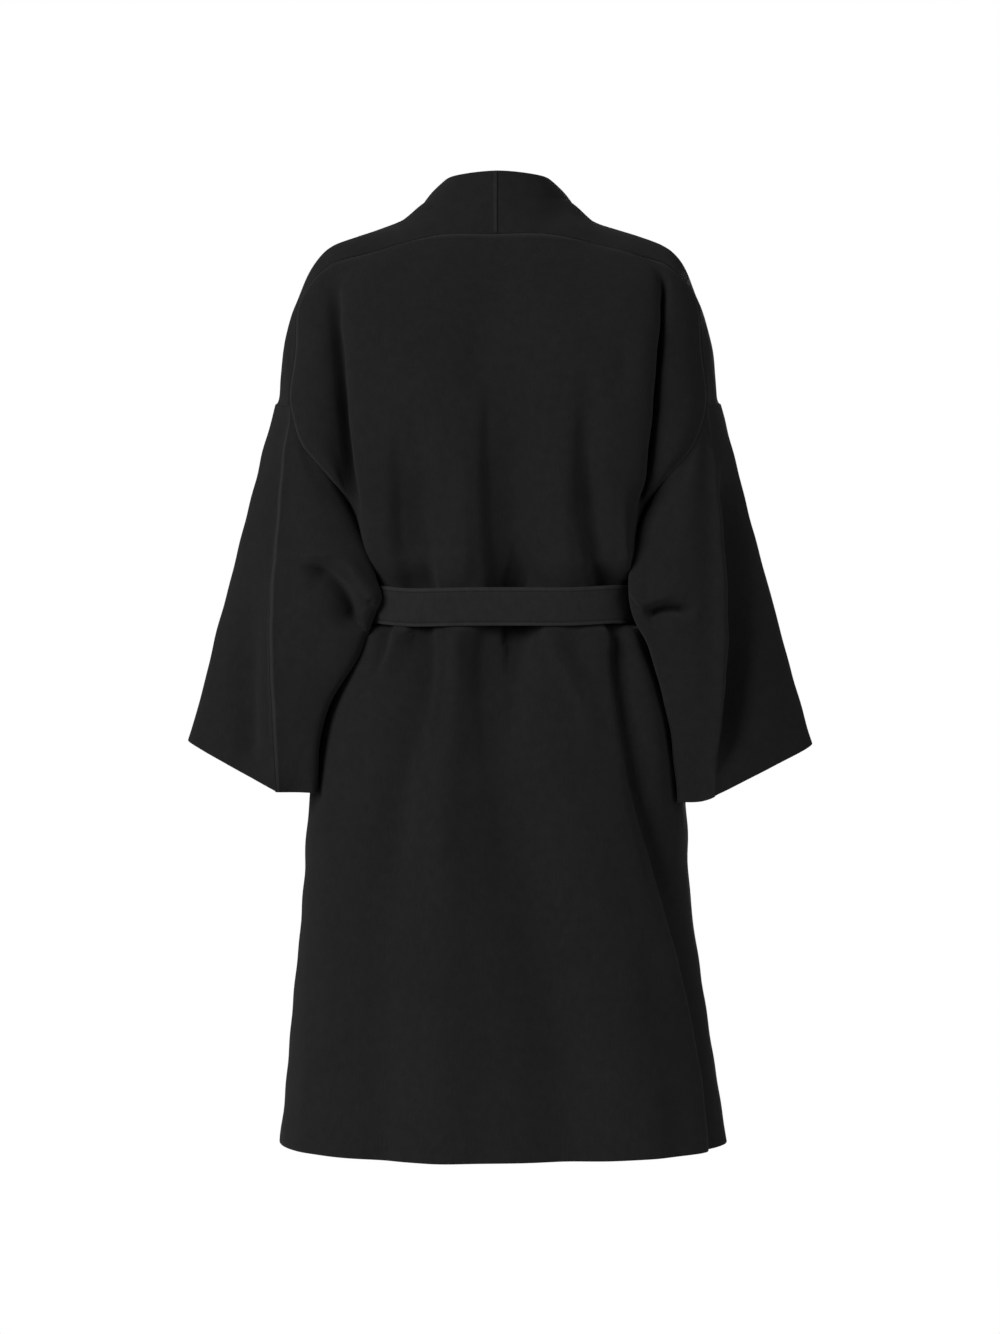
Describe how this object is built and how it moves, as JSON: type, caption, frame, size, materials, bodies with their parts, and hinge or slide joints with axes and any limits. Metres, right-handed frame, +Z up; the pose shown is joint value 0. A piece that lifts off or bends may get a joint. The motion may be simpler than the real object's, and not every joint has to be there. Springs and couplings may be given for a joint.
{
  "type": "belted wrap coat",
  "caption": "Hollow belted wrap coat of dark double-faced wool, with a standing shawl collar, dropped shoulders and wide sleeves; it hangs from the wearer's shoulders.",
  "frame": {"origin": "on the centre line, at the height of the neck seam at the centre back and at the depth of the shoulder line, where the wearer's shoulders carry the coat", "axes": "+Z up, +Y the way the wearer faces, +X towards the wearer's right"},
  "size_m": [0.705, 0.3348, 1.0839],
  "materials": {
    "wool_body": "felted wool, matte, soft nap",
    "wool_sleeve": "felted wool, matte, soft nap",
    "wool_belt": "felted wool, matte, edge-stitched"
  },
  "bodies": {
    "root": {"back": "wool_body", "back_skirt": "wool_body", "front_left": "wool_body", "front_left_skirt": "wool_body", "front_right": "wool_body", "front_right_skirt": "wool_body", "sleeve_back_left": "wool_sleeve", "sleeve_back_right": "wool_sleeve", "sleeve_front_left": "wool_sleeve", "sleeve_front_right": "wool_sleeve", "belt_band": "wool_belt", "belt_knot": "wool_belt", "belt_end_left": "wool_belt", "belt_end_right": "wool_belt"}
  },
  "joints": []
}
